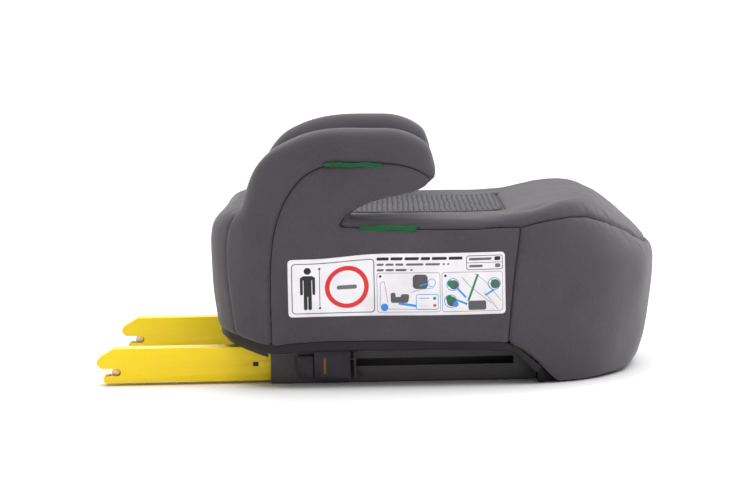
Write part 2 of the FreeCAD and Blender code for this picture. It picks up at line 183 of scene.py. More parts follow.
FRONT_WALL = smooth_line([(236, -15), (242, 1), (247.5, 8), (251, 17), (254, 27), (256, 38), (258.5, 55),
                          (261, 70), (263.5, 85), (264.5, 97), (264.2, 105), (262.3, 112), (257, 119.5),
                          (246.5, 131), (236, 141), (226, 151), (214.5, 160.5), (203, 165.5), (184, 172),
                          (160, 180)])
FRONT_WALL = np.column_stack([FRONT_X - FRONT_WALL[:, 0], FRONT_WALL[:, 1]])
REAR_WALL = smooth_line([(-140, 30), (-142, 44), (-144.5, 52), (-146.5, 69), (-149, 88), (-150.5, 105),
                         (-151, 121), (-150, 138), (-147, 149), (-138, 158.5), (-124, 164), (-108, 170),
                         (-95, 176)])
REAR_WALL = np.column_stack([REAR_WALL[:, 0] - REAR_X, REAR_WALL[:, 1]])
TOP_LINE = smooth_line([(-160, 162), (-126, 162), (-100, 160.5), (-60, 157), (-20, 154), (40, 153),
                        (95, 152.7), (116, 153.7), (136, 156.2), (150, 159), (163, 162.5), (179, 165.2),
                        (193, 165.8), (270, 166)])
HEM_LINE = np.array([(-160, 55), (-151, 53), (-140, 50), (-95, 38.5), (-82, 40), (-69, 41), (-42, 42),
                     (39, 41), (80, 41), (109, 39), (119, 38), (131, 32), (143, 21), (157, 7), (164, 1.2),
                     (270, 1.0)], float)
ARM_OUTLINE = smooth_line([(-126, 90), (-128, 148), (-121.5, 163), (-118, 173), (-112.5, 187),
                           (-104.8, 200.5), (-92, 214), (-78, 222.5), (-60, 229.5), (-38, 233), (-2, 233),
                           (17, 232.3), (29, 229.5), (41, 224), (50, 216.5), (54.5, 205), (56.3, 193),
                           (54, 187), (50, 181.5), (42, 176.5), (28, 172), (6, 168), (-8, 163), (-19, 158),
                           (-27, 151), (-33, 138), (-36, 90), (-80, 84)])

# The seams on the side, as (x, z).
ARM_SEAM = smooth_line([(-95, 20), (-95, 41), (-95, 82), (-94, 114), (-91, 138), (-85, 159), (-74, 179),
                        (-62, 192), (-43, 201), (-18, 202.5), (8, 202.5), (24, 201), (38, 197),
                        (48, 191.5), (52, 187.5)])
ARM_LOWER_SEAM = smooth_line([(52, 187.5), (51, 184), (42, 177.6), (28, 173), (6, 169), (-8, 164),
                              (-19, 159), (-27, 152.2), (-31, 147.5)])
SEAT_SEAM = smooth_line([(-31, 147.5), (-20, 146.8), (5, 146), (50, 143.5), (91, 143), (113, 144),
                         (132, 143.5)])
CORNER_SEAM = smooth_line([(132, 143.5), (129, 123), (125, 96), (123, 78), (120, 51), (119, 38),
                           (118, 15)])
FRONT_SEAM = np.array([(100, 143), (132, 143.5), (153, 148), (178, 150.5), (194, 149.5), (213, 142.5),
                       (234, 132), (248, 122.5), (256, 118), (270, 115)], float)
SIDE_PANEL = np.vstack([ARM_SEAM, ARM_LOWER_SEAM[1:], SEAT_SEAM[1:], CORNER_SEAM[1:]])
ARM_INNER_PANEL = np.vstack([ARM_SEAM[ARM_SEAM[:, 1] > 130], ARM_LOWER_SEAM[1:], [(-60, 120)]])
REAR_BORDER = 177.0
INSERT_HALF = 120.0
INSERT_OUTLINE = np.array([(-101, -117.5), (-101, 117.5), (-98, 120.5), (118, 120.5), (121, 117.5),
                           (121.5, 0), (121, -117.5), (118, -120.5), (-98, -120.5)], float)


def plan_line():
    """The seat's outline seen from above, as half of it: (x, |y|)."""
    angle = np.linspace(np.pi, np.pi / 2, 24)
    rear = np.column_stack([REAR_X + REAR_CORNER + REAR_CORNER * np.cos(angle),
                            HALF_WIDTH - REAR_CORNER + REAR_CORNER * np.sin(angle)])
    power = 2 / FRONT_POWER
    turn = np.linspace(np.pi / 2, 0, 60)
    front = np.column_stack([FRONT_START + (FRONT_X - FRONT_START) * np.cos(turn).clip(0) ** power,
                             HALF_WIDTH * np.sin(turn) ** power])
    return np.vstack([[(REAR_X, 0.0)], rear, front])


PLAN = plan_line()
PLAN_WHOLE = np.vstack([PLAN, (PLAN * (1, -1))[::-1][1:-1]])


def top_height(x, y):
    """The seat's top: a little dished between its sides, and raised over the front roll."""
    dish = 0.8 * ramp(np.abs(y), 176, 110) * ramp(x, 150, 100) * ramp(x, -140, -95)
    return height_on(TOP_LINE, x) - dish


def lean(z):
    """How far the sides lie inside the plan outline at a height. They are widest at 100 mm."""
    return 4 * ((z - 100) / 60) ** 2


def seat_fields(x, y, z):
    """Distance to the seat without its arm rests, and to the arm rests, on a grid given by its axes."""
    gx, gy = np.meshgrid(x, y, indexing="ij")
    plan = distance_to_shape(PLAN_WHOLE, gx, gy)
    slope_x, slope_y = np.gradient(plan, x, y)
    size = np.maximum(np.hypot(slope_x, slope_y), 1e-6)
    front = (np.clip(slope_x / size, 0, 1) ** 2)[:, :, None]
    rear = (np.clip(-slope_x / size, 0, 1) ** 2)[:, :, None]
    flank = 1 - front - rear
    depth = np.broadcast_to(-plan[:, :, None], plan.shape + (len(z),))
    height = np.broadcast_to(z, depth.shape)
    levels = np.arange(-80, 260, 1.0)
    d, h = np.meshgrid(levels, z, indexing="ij")
    front_table, rear_table = distance_to_wall(FRONT_WALL, d, h), distance_to_wall(REAR_WALL, d, h)
    spot = np.clip(-plan - levels[0], 0, len(levels) - 1.001)
    low = spot.astype(int)
    part = (spot - low)[:, :, None]
    front_wall = front_table[low] * (1 - part) + front_table[low + 1] * part
    rear_wall = rear_table[low] * (1 - part) + rear_table[low + 1] * part
    side_wall = -depth + lean(height)
    walls = front * front_wall + rear * rear_wall + flank * side_wall
    top = height - top_height(gx, gy)[:, :, None]
    top_round = SIDE_TOP_ROUND * flank + FRONT_TOP_ROUND * front + REAR_TOP_ROUND * rear
    solid = round_max(walls, top, top_round)
    hem = height_on(HEM_LINE, x)[:, None, None] - height
    solid = round_max(solid, hem * 0.8, HEM_ROUND)
    hollow = np.maximum(walls + SKIRT, height - FLOOR_OF_PAD)
    solid = np.maximum(solid, -hollow)
    sx, sz = np.meshgrid(x, z, indexing="ij")
    outline = distance_to_shape(ARM_OUTLINE, sx, sz)[:, None, :]
    slab = (np.abs(np.abs(gy) - ARM_MIDDLE) - ARM_HALF)[:, :, None]
    edge = ARM_UNDER_ROUND + (ARM_TOP_ROUND - ARM_UNDER_ROUND) * ramp(z, 180, 205)
    arm = round_max(outline, slab + 0 * height, edge)
    arm = round_max(arm, -depth + ARM_SET_IN + 0 * height, ARM_OUTER_ROUND)
    return solid, arm


def surface_net(field, x, y, z):
    """The zero surface of a grid, as points and four-sided faces."""
    axes = (x, y, z)
    inside = field < 0
    shape = np.array(field.shape) - 1
    total, weight = np.zeros(tuple(shape) + (3,)), np.zeros(shape)
    for axis in range(3):
        for a in (0, 1):
            for b in (0, 1):
                low = [slice(a, a + shape[0]), slice(a, a + shape[1]), slice(a, a + shape[2])]
                others = [k for k in range(3) if k != axis]
                low[others[0]] = slice(a, a + shape[others[0]])
                low[others[1]] = slice(b, b + shape[others[1]])
                low[axis] = slice(0, shape[axis])
                high = list(low)
                high[axis] = slice(1, shape[axis] + 1)
                first, second = field[tuple(low)], field[tuple(high)]
                crossing = (first < 0) != (second < 0)
                t = np.where(crossing, first / np.where(first == second, 1, first - second), 0)
                total[..., axis] += np.where(crossing, t, 0)
                total[..., others[0]] += np.where(crossing, a, 0)
                total[..., others[1]] += np.where(crossing, b, 0)
                weight += crossing
    cells = np.argwhere(weight > 0)
    number = np.full(shape, -1)
    number[tuple(cells.T)] = np.arange(len(cells))
    offset = total[tuple(cells.T)] / weight[tuple(cells.T)][:, None]
    corner = np.column_stack([axes[k][cells[:, k]] for k in range(3)])
    step = np.array([a[1] - a[0] for a in axes])
    points = corner + offset * step
    quads = []
    for axis in range(3):
        u, v = [(1, 2), (2, 0), (0, 1)][axis]
        low = [slice(1, None)] * 3
        low[axis] = slice(None, -1)
        for k in (u, v):
            low[k] = slice(1, field.shape[k] - 1)
        high = list(low)
        high[axis] = slice(1, None)
        first, second = inside[tuple(low)], inside[tuple(high)]
        base = np.argwhere(first != second)
        base[:, [u, v]] += 1
        leaving = first[first != second]
        ring = []
        for du, dv in ((1, 1), (0, 1), (0, 0), (1, 0)):
            cell = base.copy()
            cell[:, u] -= du
            cell[:, v] -= dv
            ring.append(number[tuple(cell.T)])
        quad = np.column_stack(ring)
        quad[~leaving] = quad[~leaving][:, ::-1]
        quads.append(quad)
    return points, np.vstack(quads)


def sample(field, axes, points):
    """The grid's value at each point."""
    spots, parts = [], []
    for k, axis in enumerate(axes):
        s = np.clip((points[:, k] - axis[0]) / (axis[1] - axis[0]), 0, len(axis) - 1.001)
        spots.append(s.astype(int))
        parts.append(s - s.astype(int))
    total = 0
    for corner in np.ndindex(2, 2, 2):
        share = np.prod([p if c else 1 - p for c, p in zip(corner, parts)], axis=0)
        total = total + share * field[tuple(s + c for s, c in zip(spots, corner))]
    return total


def slope(field, axes, points, reach=1.5):
    """The direction in which the grid's value rises fastest at each point."""
    direction = np.column_stack([sample(field, axes, points + step) - sample(field, axes, points - step)
                                 for step in reach * np.eye(3)])
    return unit(direction)


def settle(points, faces, field, axes, rounds=3):
    """Evens out the points along the surface, and puts them back on it."""
    a, b = faces.T.ravel(), np.roll(faces, -1, axis=1).T.ravel()
    for _ in range(rounds):
        total, count = np.zeros_like(points), np.zeros(len(points))
        np.add.at(total, a, points[b])
        np.add.at(total, b, points[a])
        np.add.at(count, a, 1)
        np.add.at(count, b, 1)
        points = points + 0.5 * (total / count[:, None] - points)
        for _ in range(2):
            gap = sample(field, axes, points)
            points = points - np.clip(gap, -2, 2)[:, None] * slope(field, axes, points)
    return points


def as_triangles(quads):
    """Each four-sided face as two triangles."""
    return np.vstack([quads[:, [0, 1, 2]], quads[:, [0, 2, 3]]])


def edges_of(triangles):
    """The first, second and third edge of every triangle, in that order."""
    return np.vstack([triangles[:, [0, 1]], triangles[:, [1, 2]], triangles[:, [2, 0]]])


def grid_quads(columns, rows):
    """The faces of a grid of points that are listed column by column."""
    i, k = np.meshgrid(np.arange(columns - 1), np.arange(rows - 1), indexing="ij")
    a = (i * rows + k).ravel()
    return np.column_stack([a, a + rows, a + rows + 1, a + 1])


def tube_quads(count, sides):
    """The wall faces of a tube of rings that are listed one after the other."""
    i, k = np.meshgrid(np.arange(count - 1), np.arange(sides), indexing="ij")
    a, b = (i * sides + k).ravel(), (i * sides + (k + 1) % sides).ravel()
    return np.column_stack([a, b, b + sides, a + sides])


def split_at(level, column, points, values, triangles, where, snap=0.25):
    """Adds points where a value crosses a level, so that an edge of the mesh follows it."""
    height = values[:, column] - level
    near = np.abs(height) < snap
    height[near] = 0
    edges = np.sort(edges_of(triangles), axis=1)
    code = edges[:, 0].astype(np.int64) * len(points) + edges[:, 1]
    unique, back = np.unique(code, return_inverse=True)
    first, second = unique // len(points), unique % len(points)
    crossed = (height[first] * height[second] < 0) & where[first] & where[second]
    made = np.full(len(unique), -1)
    made[crossed] = len(points) + np.arange(crossed.sum())
    first, second = first[crossed], second[crossed]
    t = (height[first] / (height[first] - height[second]))[:, None]
    points = np.vstack([points, points[first] * (1 - t) + points[second] * t])
    values = np.vstack([values, values[first] * (1 - t) + values[second] * t])
    count = len(triangles)
    middle = np.column_stack([made[back[:count]], made[back[count:2 * count]], made[back[2 * count:]]])
    cuts = (middle >= 0).sum(1)
    out = [triangles[cuts == 0]]
    for k in range(3):
        turn = [k, (k + 1) % 3, (k + 2) % 3]
        v, m = triangles[:, turn], middle[:, turn]
        one = (cuts == 1) & (m[:, 0] >= 0)
        out.append(np.column_stack([v[one, 0], m[one, 0], v[one, 2]]))
        out.append(np.column_stack([m[one, 0], v[one, 1], v[one, 2]]))
        two = (cuts == 2) & (m[:, 0] >= 0) & (m[:, 2] >= 0)
        out.append(np.column_stack([v[two, 0], m[two, 0], m[two, 2]]))
        out.append(np.column_stack([m[two, 0], v[two, 1], v[two, 2]]))
        out.append(np.column_stack([m[two, 0], v[two, 2], m[two, 2]]))
    return points, values, np.vstack(out)


def add_object(name, data):
    """A new object of the scene."""
    obj = bpy.data.objects.new(name, data)
    bpy.context.scene.collection.objects.link(obj)
    return obj


def as_seen(obj):
    """The object with its modifiers applied."""
    return obj.evaluated_get(bpy.context.evaluated_depsgraph_get())


def make_mesh(name, points, faces, scale=MM):
    """A smooth-shaded object from arrays of points and equal-sided faces."""
    mesh = bpy.data.meshes.new(name)
    sides = faces.shape[1]
    mesh.vertices.add(len(points))
    mesh.vertices.foreach_set("co", (np.asarray(points, float) * scale).astype(np.float32).ravel())
    mesh.loops.add(faces.size)
    mesh.loops.foreach_set("vertex_index", faces.astype(np.int32).ravel())
    mesh.polygons.add(len(faces))
    mesh.polygons.foreach_set("loop_start", np.arange(0, faces.size, sides, dtype=np.int32))
    mesh.update(calc_edges=True)
    mesh.validate()
    mesh.polygons.foreach_set("use_smooth", np.ones(len(mesh.polygons), bool))
    return add_object(name, mesh)


# ---------------------------------------------------------------- the sewn cover

GRID_RANGE = ((-166, 272), (-224, 224.1), (-6, 244))
GRID_STEP, COARSE_STEP = 3.2, 6.4
SEAM_DEPTH, SEAM_REACH = 3.4, 5.0
SEAM_LEVELS = (-SEAM_REACH, -2.6, -1.2, -0.45, 0.45, 1.2, 2.6, SEAM_REACH)
SEAM_SHAPE = ((0, 0.45, 1.2, 2.6, SEAM_REACH), (-SEAM_DEPTH, -2.9, -1.3, -0.35, 0.0))
# Half the width of the strip down each seam's middle that gets the dark thread colour as painted shade in
# the groove.
SEAM_SHADE_HALF = 0.8
REAR_SEAM_X = -113.0
INSERT_SEAM = 6
CLOTH = {"quality": 4, "mass": 0.25, "tension_stiffness": 25, "compression_stiffness": 25,
         "shear_stiffness": 12, "bending_stiffness": 1.5, "tension_damping": 10,
         "compression_damping": 10, "use_pressure": True, "uniform_pressure_force": 3.0,
         "vertex_group_mass": "seams"}
CLOTH_FRAMES = 18
SWELL_LIMIT = 4.0


def seam_values(points, solid_gap):
    """Distance to each seam at each point, negative on one side of it, and where each seam runs."""
    x, y, z = points.T
    wide = np.abs(y)
    side = -distance_to_shape(SIDE_PANEL, x, z)
    inner = -distance_to_shape(ARM_INNER_PANEL, x, z)
    stations = np.arange(90, 270)
    steep = np.interp(x, stations, np.hypot(1, np.gradient(height_on(FRONT_SEAM, stations))))
    front = (z - height_on(FRONT_SEAM, x)) / steep
    insert = distance_to_shape(INSERT_OUTLINE, x, y)
    crease = solid_gap / 1.4
    on_arm = ramp(crease, 5, 1)
    values = np.column_stack([side, front, inner, crease, wide - REAR_BORDER, x - REAR_SEAM_X, insert])
    runs = np.column_stack([
        # Round each side panel, and across the front.
        ramp(wide, 178, 186) * ramp(z, 30, 34),
        ramp(x, 128, 133),
        # On the inner face of each arm rest, and where it meets the seat.
        ramp(wide, 186, 178) * on_arm,
        np.where(x > -60, ramp(wide, 205, 197), ramp(wide, 165, 158))
        * ramp(z, 140, 146) * ramp(z, 178, 170),
        # Down the rear corners, along the rear edge of the top, and round the insert.
        0.35 * ramp(x, -90, -100) * ramp(crease, 0, 3) * ramp(z, 30, 40),
        ramp(z, 140, 148) * ramp(z, 169, 165) * ramp(wide, 160, 156) * ramp(x, -90, -100),
        ramp(z, 138, 144) * ramp(wide, 150, 140),
    ])
    return values, runs


def inflate(points, faces, pinned):
    """Blows the cloth out from inside, held along its seams, and gives where its points end."""
    shell = make_mesh("shell", points, faces)
    group = shell.vertex_groups.new(name="seams")
    group.add([int(i) for i in np.flatnonzero(pinned)], 1.0, "REPLACE")
    cloth = shell.modifiers.new("cloth", "CLOTH")
    for name, value in CLOTH.items():
        setattr(cloth.settings, name, value)
    cloth.settings.effector_weights.gravity = 0
    cloth.collision_settings.use_collision = False
    cloth.point_cache.frame_start, cloth.point_cache.frame_end = 1, CLOTH_FRAMES
    scene = bpy.context.scene
    for number in range(1, CLOTH_FRAMES + 1):
        scene.frame_set(number)
    found = as_seen(shell)
    ends = np.empty(len(found.data.vertices) * 3, np.float32)
    found.data.vertices.foreach_get("co", ends)
    scene.frame_set(1)
    bpy.data.objects.remove(shell)
    return ends.reshape(-1, 3) / MM


def fade_of_seams(values, runs, reach):
    """1 on a seam, falling to 0 at reach from it."""
    return np.max(runs * np.clip(1 - np.abs(values) / reach, 0, 1), axis=1)


def seat_surface(axes):
    """The seat's plain surface on a grid: its points and faces, the field, and the arm rests' gap."""
    solid, arm = seat_fields(*axes)
    whole = round_min(solid, arm, ARM_FILLET)
    points, quads = surface_net(whole, *axes)
    return settle(points, quads, whole, axes), quads, whole, arm - solid


def cloth_swell(points, gap, axes):
    """How far each point moves when a coarse copy of the cover is blown out between its seams."""
    start, faces, _, _ = seat_surface(tuple(np.arange(a[0], a[-1], COARSE_STEP) for a in axes))
    values, runs = seam_values(start, sample(gap, axes, start))
    held = fade_of_seams(values, runs, SEAM_REACH) > 0.1
    held |= start[:, 2] < height_on(HEM_LINE, start[:, 0]) + 5
    held |= values[:, INSERT_SEAM] < 0
    move = inflate(start, faces, held) - start
    size = np.linalg.norm(move, axis=1)[:, None]
    move *= SWELL_LIMIT * np.tanh(size / SWELL_LIMIT) / np.maximum(size, 1e-6)
    tree = KDTree(len(start))
    for i, p in enumerate(start):
        tree.insert(p, i)
    tree.balance()
    swell = np.zeros_like(points)
    for i, p in enumerate(points):
        near = tree.find_n(p, 5)
        share = np.array([1 / (d + 1.0) ** 2 for _, _, d in near])
        swell[i] = (share[:, None] * move[[n for _, n, _ in near]]).sum(0) / share.sum()
    return swell


def build_cover():
    """The stitched cover as one closed mesh, and which of its faces are painted seam shade, coloured as
    dark thread in each groove.
    """
    axes = tuple(np.arange(low, high, GRID_STEP) for low, high in GRID_RANGE)
    points, quads, whole, gap = seat_surface(axes)
    swell = cloth_swell(points, gap, axes)
    swell *= 1 - 0.85 * (ramp(points[:, 0], 120, 190) * ramp(points[:, 2], 100, 50))[:, None]
    triangles = as_triangles(quads)
    values, runs = seam_values(points, sample(gap, axes, points))
    data = np.column_stack([values, runs, swell])
    count = values.shape[1]
    for seam in range(count):
        for level in SEAM_LEVELS:
            runs_here = data[:, count + seam] > 0.02
            points, data, triangles = split_at(level, seam, points, data, triangles, runs_here)
    values, runs, swell = data[:, :count], data[:, count:2 * count], data[:, 2 * count:]
    points = points - np.clip(sample(whole, axes, points), -1, 1)[:, None] * slope(whole, axes, points)
    outward = slope(whole, axes, points, 2.5)
    depths = np.min(runs * np.interp(np.abs(values), *SEAM_SHAPE), axis=1)
    valley = np.clip(-depths / SEAM_DEPTH, 0, 1)
    near = fade_of_seams(values, runs, 26.0)
    gathers = ripple(points, 15.0, 3) * near ** 2 * (1 - valley)
    loose = ripple(points, 75.0, 8)
    height = depths + 0.3 * gathers + 0.7 * loose * (1 - near)
    height -= 2.4 * ramp(-values[:, INSERT_SEAM], 1, 8) * runs[:, INSERT_SEAM]
    points = points + swell * (1 - valley)[:, None] + outward * height[:, None]
    # Painted shade: the faces along each seam's middle get the dark thread colour, which stands for the
    # shade in the groove.
    seam_shade = (np.abs(values) < SEAM_SHADE_HALF) & (runs > 0.6)
    obj = make_mesh("seat_cover_fabric", points, triangles)
    return obj, seam_shade[triangles].all(1).any(1).astype(np.int32)


# ---------------------------------------------------------------- meshes laid along lines, on the cover

def tube(name, path, outward, section):
    """A closed solid swept along a path. The section is (out, down) for each path point."""
    path, outward = np.asarray(path, float), np.asarray(outward, float)
    along = unit(np.gradient(path, axis=0))
    outward = unit(outward - (outward * along).sum(1)[:, None] * along)
    down = np.cross(outward, along)
    down *= np.where(down[:, 2:] > 0, -1, 1)
    section = np.asarray(section, float)
    if section.ndim == 2:
        section = np.repeat(section[None], len(path), axis=0)
    count, sides = section.shape[:2]
    points = path[:, None] + section[:, :, :1] * outward[:, None] + section[:, :, 1:] * down[:, None]
    points = points.reshape(-1, 3)
    triangles = as_triangles(tube_quads(count, sides))
    ends = []
    for start, way in ((0, 1), ((count - 1) * sides, -1)):
        points = np.vstack([points, points[start:start + sides].mean(0)])
        k = np.arange(sides)
        fan = np.column_stack([np.full(sides, len(points) - 1), start + (k + 1) % sides, start + k])
        ends.append(fan[:, ::way])
    obj = make_mesh(name, points, np.vstack([triangles] + ends))
    face_outward(obj)
    return obj


def face_outward(obj):
    """Turns every face of a closed mesh to the outside, and keeps the shading smooth."""
    mesh = bmesh.new()
    mesh.from_mesh(obj.data)
    bmesh.ops.recalc_face_normals(mesh, faces=mesh.faces)
    mesh.to_mesh(obj.data)
    mesh.free()
    obj.data.polygons.foreach_set("use_smooth", np.ones(len(obj.data.polygons), bool))


def rounded_section(wide, tall, radius, corners=5):
    """A rounded rectangle about its middle, as (out, down)."""
    out = []
    for cx, cy, start in ((1, 1, 0), (-1, 1, 90), (-1, -1, 180), (1, -1, 270)):
        for turn in np.radians(start + np.linspace(0, 90, corners)):
            out.append((cx * (wide / 2 - radius) + radius * np.cos(turn),
                        cy * (tall / 2 - radius) + radius * np.sin(turn)))
    return np.array(out)


def touch(tree, origin, direction):
    """Where a ray from a point first meets a surface, in millimetres."""
    hit = tree.ray_cast(Vector(origin) * MM, Vector(direction))[0]
    return None if hit is None else np.array(hit) / MM


def thicken(points, triangles, shift):
    """Closes an open sheet into a thin solid. The back lies at shift from the front."""
    count = len(points)
    edges = edges_of(triangles)
    code = np.sort(edges, axis=1) @ np.array([count, 1])
    _, first, times = np.unique(code, return_index=True, return_counts=True)
    rim = edges[first[times == 1]]
    walls = np.vstack([np.column_stack([rim[:, 1], rim[:, 0], rim[:, 0] + count]),
                       np.column_stack([rim[:, 1], rim[:, 0] + count, rim[:, 1] + count])])
    return np.vstack([points, points + shift]), np.vstack([triangles, triangles[:, ::-1] + count, walls])


# ---------------------------------------------------------------- the ribbed insert

RIB_PITCH, RIB_HEIGHT = 4.9, 1.6
INSERT_FRONT, INSERT_REAR, INSERT_CORNER = 121.2, -100.6, 2.5
INSERT_COLUMNS, INSERT_ROWS = 300, 90
STITCH_SPACING, STITCH_LENGTH, STITCH_RADIUS = 2.8, 2.0, 0.36
# A stitch along its length: (place, radius, rise), as shares of its length and of its radius.
STITCH_SHAPE = ((-0.5, 0.25, 0.0), (-0.42, 0.8, 0.25), (-0.2, 1, 0.4), (0.2, 1, 0.4), (0.42, 0.8, 0.25),
                (0.5, 0.25, 0.0))


def build_insert():
    """The ribbed panel in the seat's top, and which of its faces lie low between the ribs and get painted
    shade.
    """
    across = np.linspace(-1, 1, INSERT_ROWS)
    along = np.linspace(0, 1, INSERT_COLUMNS)
    u, v = np.meshgrid(along, across, indexing="ij")
    y = v * INSERT_HALF
    corner = INSERT_CORNER * ramp(np.abs(v), 0.97, 1)
    front = INSERT_FRONT - 0.6 * v * v - corner
    rear = INSERT_REAR + corner
    x = rear + u * (front - rear)
    flat = as_rows(x, y, 0 * x)
    wander = (0.7 * ripple(flat, 95.0, 21) + 0.4 * ripple(flat, 16.0, 22)).reshape(x.shape)
    phase = 2 * np.pi * (x / RIB_PITCH) + wander
    rib = (0.5 + 0.5 * np.cos(phase)) ** 0.75
    edge = np.minimum(np.minimum(x - rear, front - x), INSERT_HALF - np.abs(y))
    soft = ripple(flat, 48.0, 23).reshape(x.shape)
    height = top_height(x, y) - 0.8 + RIB_HEIGHT * rib * ramp(edge, 0.2, 2.5)
    height += 0.35 * soft * ramp(edge, 2, 20) + 0.8 * ramp(edge, 0, 10) - 1.6 * ramp(edge, 3.0, 0)
    points = as_rows(x, y, height)
    quads = grid_quads(INSERT_COLUMNS, INSERT_ROWS)
    under = points.copy()
    under[:, 2] = np.minimum(points[:, 2] - 0.5, top_height(points[:, 0], points[:, 1]) - 3.0)
    points, triangles = thicken(points, as_triangles(quads), under - points)
    # Painted shade: the low faces between the ribs get a darker copy of the insert's knit.
    valley = np.zeros(len(triangles), np.int32)
    low = (rib.ravel()[quads].mean(1) < 0.3) & (edge.ravel()[quads].mean(1) > 2)
    valley[:2 * len(quads)] = np.tile(low, 2)
    return make_mesh("seat_insert_pad", points, triangles), valley


def build_stitches(name, line, tree):
    """A row of sewing stitches lying on the insert along a closed line of (x, y)."""
    ring = np.vstack([line, line[:1]])
    steps = np.linalg.norm(np.diff(ring, axis=0), axis=1)
    travel = np.concatenate([[0], np.cumsum(steps)])
    count = int(travel[-1] / STITCH_SPACING)
    middles = (np.arange(count) + 0.5) * travel[-1] / count
    sides, rows = 6, len(STITCH_SHAPE)
    turn = np.linspace(0, 2 * np.pi, sides + 1)[:-1]
    fan = np.array([(0, 1, 2), (0, 2, 3), (0, 3, 4), (0, 4, 5)])
    walls = as_triangles(tube_quads(rows, sides))
    stitch = np.vstack([walls, fan[:, ::-1], fan + (rows - 1) * sides])
    all_points, all_faces = [], []
    for middle in middles:
        ends = [[np.interp(middle + part * STITCH_LENGTH, travel, ring[:, axis]) for axis in (0, 1)]
                for part in (-0.5, 0.5)]
        start, end = [touch(tree, (x, y, 200), (0, 0, -1)) for x, y in ends]
        if start is None or end is None:
            continue
        way = (end - start) / max(np.linalg.norm(end - start), 1e-6)
        side = np.cross(way, (0, 0, 1))
        side /= np.linalg.norm(side)
        top = np.cross(side, way)
        circle = np.cos(turn)[:, None] * side + np.sin(turn)[:, None] * top
        all_faces.append(stitch + len(all_points) * rows * sides)
        all_points.append(np.vstack([(start + end) / 2 + way * place * STITCH_LENGTH
                                     + STITCH_RADIUS * (1.2 * rise * top + radius * circle)
                                     for place, radius, rise in STITCH_SHAPE]))
    obj = make_mesh(name, np.vstack(all_points), np.vstack(all_faces))
    face_outward(obj)
    return obj


# ---------------------------------------------------------------- rim, belt guides and label

RIM_END_X = 153.0
RIM_INSET, RIM_SECTION = 7.6, (6.0, 9.0, 2.4)
RIM_TAIL = (-70, -115)
RIM_TAIL_IN, RIM_TAIL_UP, RIM_TAIL_TALL = 3.6, 2.0, 0.45


def build_rim():
    """The black edge of the shell under the fabric, from one front foot round the back to the other."""
    side = smooth_line(PLAN[PLAN[:, 0] < RIM_END_X], 4.0)[::-1]
    side = side[side[:, 1] > 1]
    way = np.gradient(side, axis=0)
    out = unit(np.column_stack([way[:, 1], -way[:, 0]]))
    out *= np.sign((out * (side - (40, 0))).sum(1))[:, None]
    height = running_mean(height_on(HEM_LINE, side[:, 0]), 3)
    tail = ramp(side[:, 0], *RIM_TAIL)
    inset = RIM_INSET + np.maximum(lean(height) - 3.9, 0) + RIM_TAIL_IN * tail
    half = np.column_stack([side - out * inset[:, None], height + RIM_TAIL_UP * tail])
    path = np.vstack([half, (half * (1, -1, 1))[::-1]])
    outward = np.column_stack([out, np.zeros(len(out))])
    outward = np.vstack([outward, (outward * (1, -1, 1))[::-1]])
    base = rounded_section(*RIM_SECTION) + (0, 2.7)
    tall = 1 - 0.22 * ramp(path[:, 0], 108, 130) + RIM_TAIL_TALL * ramp(path[:, 0], *RIM_TAIL)
    sections = base[None] * np.stack([np.ones_like(tall), tall], axis=1)[:, None]
    return tube("shell_rim", path, outward, sections)


# Each belt guide: what its piece and its CAD part are called, its line as (x, z), and its shape.
GUIDES = (("_armrest_guide_loop", "_armrest_belt_guide", [(-43, 202.6), (-18, 202.0), (8, 200.2)],
           {"wide": 4.2, "tall": 3.4, "wave": 0.9, "proud": 0.0, "seed": 31}),
          ("_seat_guide_loop", "_seat_belt_guide", [(-13, 144.6), (12, 144.6), (38, 144.0)],
           {"wide": 4.6, "tall": 4.3, "wave": 0.35, "proud": 0.5, "seed": 41}))


def build_guide(name, line, tree, side, wide, tall, wave, proud, seed):
    """A belt guide: a strip of green fabric folded into a roll and caught in a seam."""
    line = smooth_line(line, 1.2)
    seed += side
    wobble = ripple(np.column_stack([line, np.full(len(line), seed * 50.0)]), 26.0, seed)
    pinch = ripple(np.column_stack([line, np.full(len(line), seed * 90.0)]), 17.0, seed + 1)
    path = []
    for (x, z), w in zip(line, wobble):
        hit = touch(tree, (x, side * 260.0, z + 2.2), (0, -side, 0))
        path.append((x, hit[1] + side * (wide * 0.36 - 0.3 + proud), z + wave * w))
    path = np.array(path)
    path[:, 1] = running_mean(path[:, 1], 5)
    base = rounded_section(wide, tall, min(wide, tall) * 0.42, 6)
    angle = np.arctan2(base[:, 1], base[:, 0])
    sections = []
    for i, p in enumerate(pinch):
        end = min(i, len(path) - 1 - i) / 3.0
        grow = 1 + 0.2 * wave * p - 0.16 * max(0, 1 - end)
        fold = 1 + 0.13 * np.cos(3 * angle + 0.8 * p + 0.22 * i)
        sections.append(base * grow * fold[:, None])
    outward = np.tile((0.0, float(side), 0.0), (len(path), 1))
    return tube(name, path, outward, np.array(sections))


LABEL_CORNER = (-77.0, 66.0)
LABEL_SIZE = (195.0, 56.0)
LABEL_ROUND = 3.5
LABEL_COLUMNS, LABEL_ROWS = 163, 47
NO_END = -1e9


def box_gap(u, v, left, bottom, right, top, radius):
    """Distance to a rounded rectangle, negative inside it."""
    a = np.abs(u - (left + right) / 2) - (right - left) / 2 + radius
    b = np.abs(v - (bottom + top) / 2) - (top - bottom) / 2 + radius
    return np.hypot(np.maximum(a, 0), np.maximum(b, 0)) + np.minimum(np.maximum(a, b), 0) - radius


# Each ink shape is a list of bands, (field, low, high), and covers what lies in all of them.

def disc(u, v, x, y, radius):
    return [(np.hypot(u - x, v - y), NO_END, radius)]


def ring(u, v, x, y, radius, thick):
    return [(np.hypot(u - x, v - y), radius - thick / 2, radius + thick / 2)]


def block(u, v, left, bottom, right, top, radius):
    return [(box_gap(u, v, left, bottom, right, top, radius), NO_END, 0.0)]


def border(u, v, left, bottom, right, top, radius, thick):
    return [(box_gap(u, v, left, bottom, right, top, radius), -thick / 2, thick / 2)]


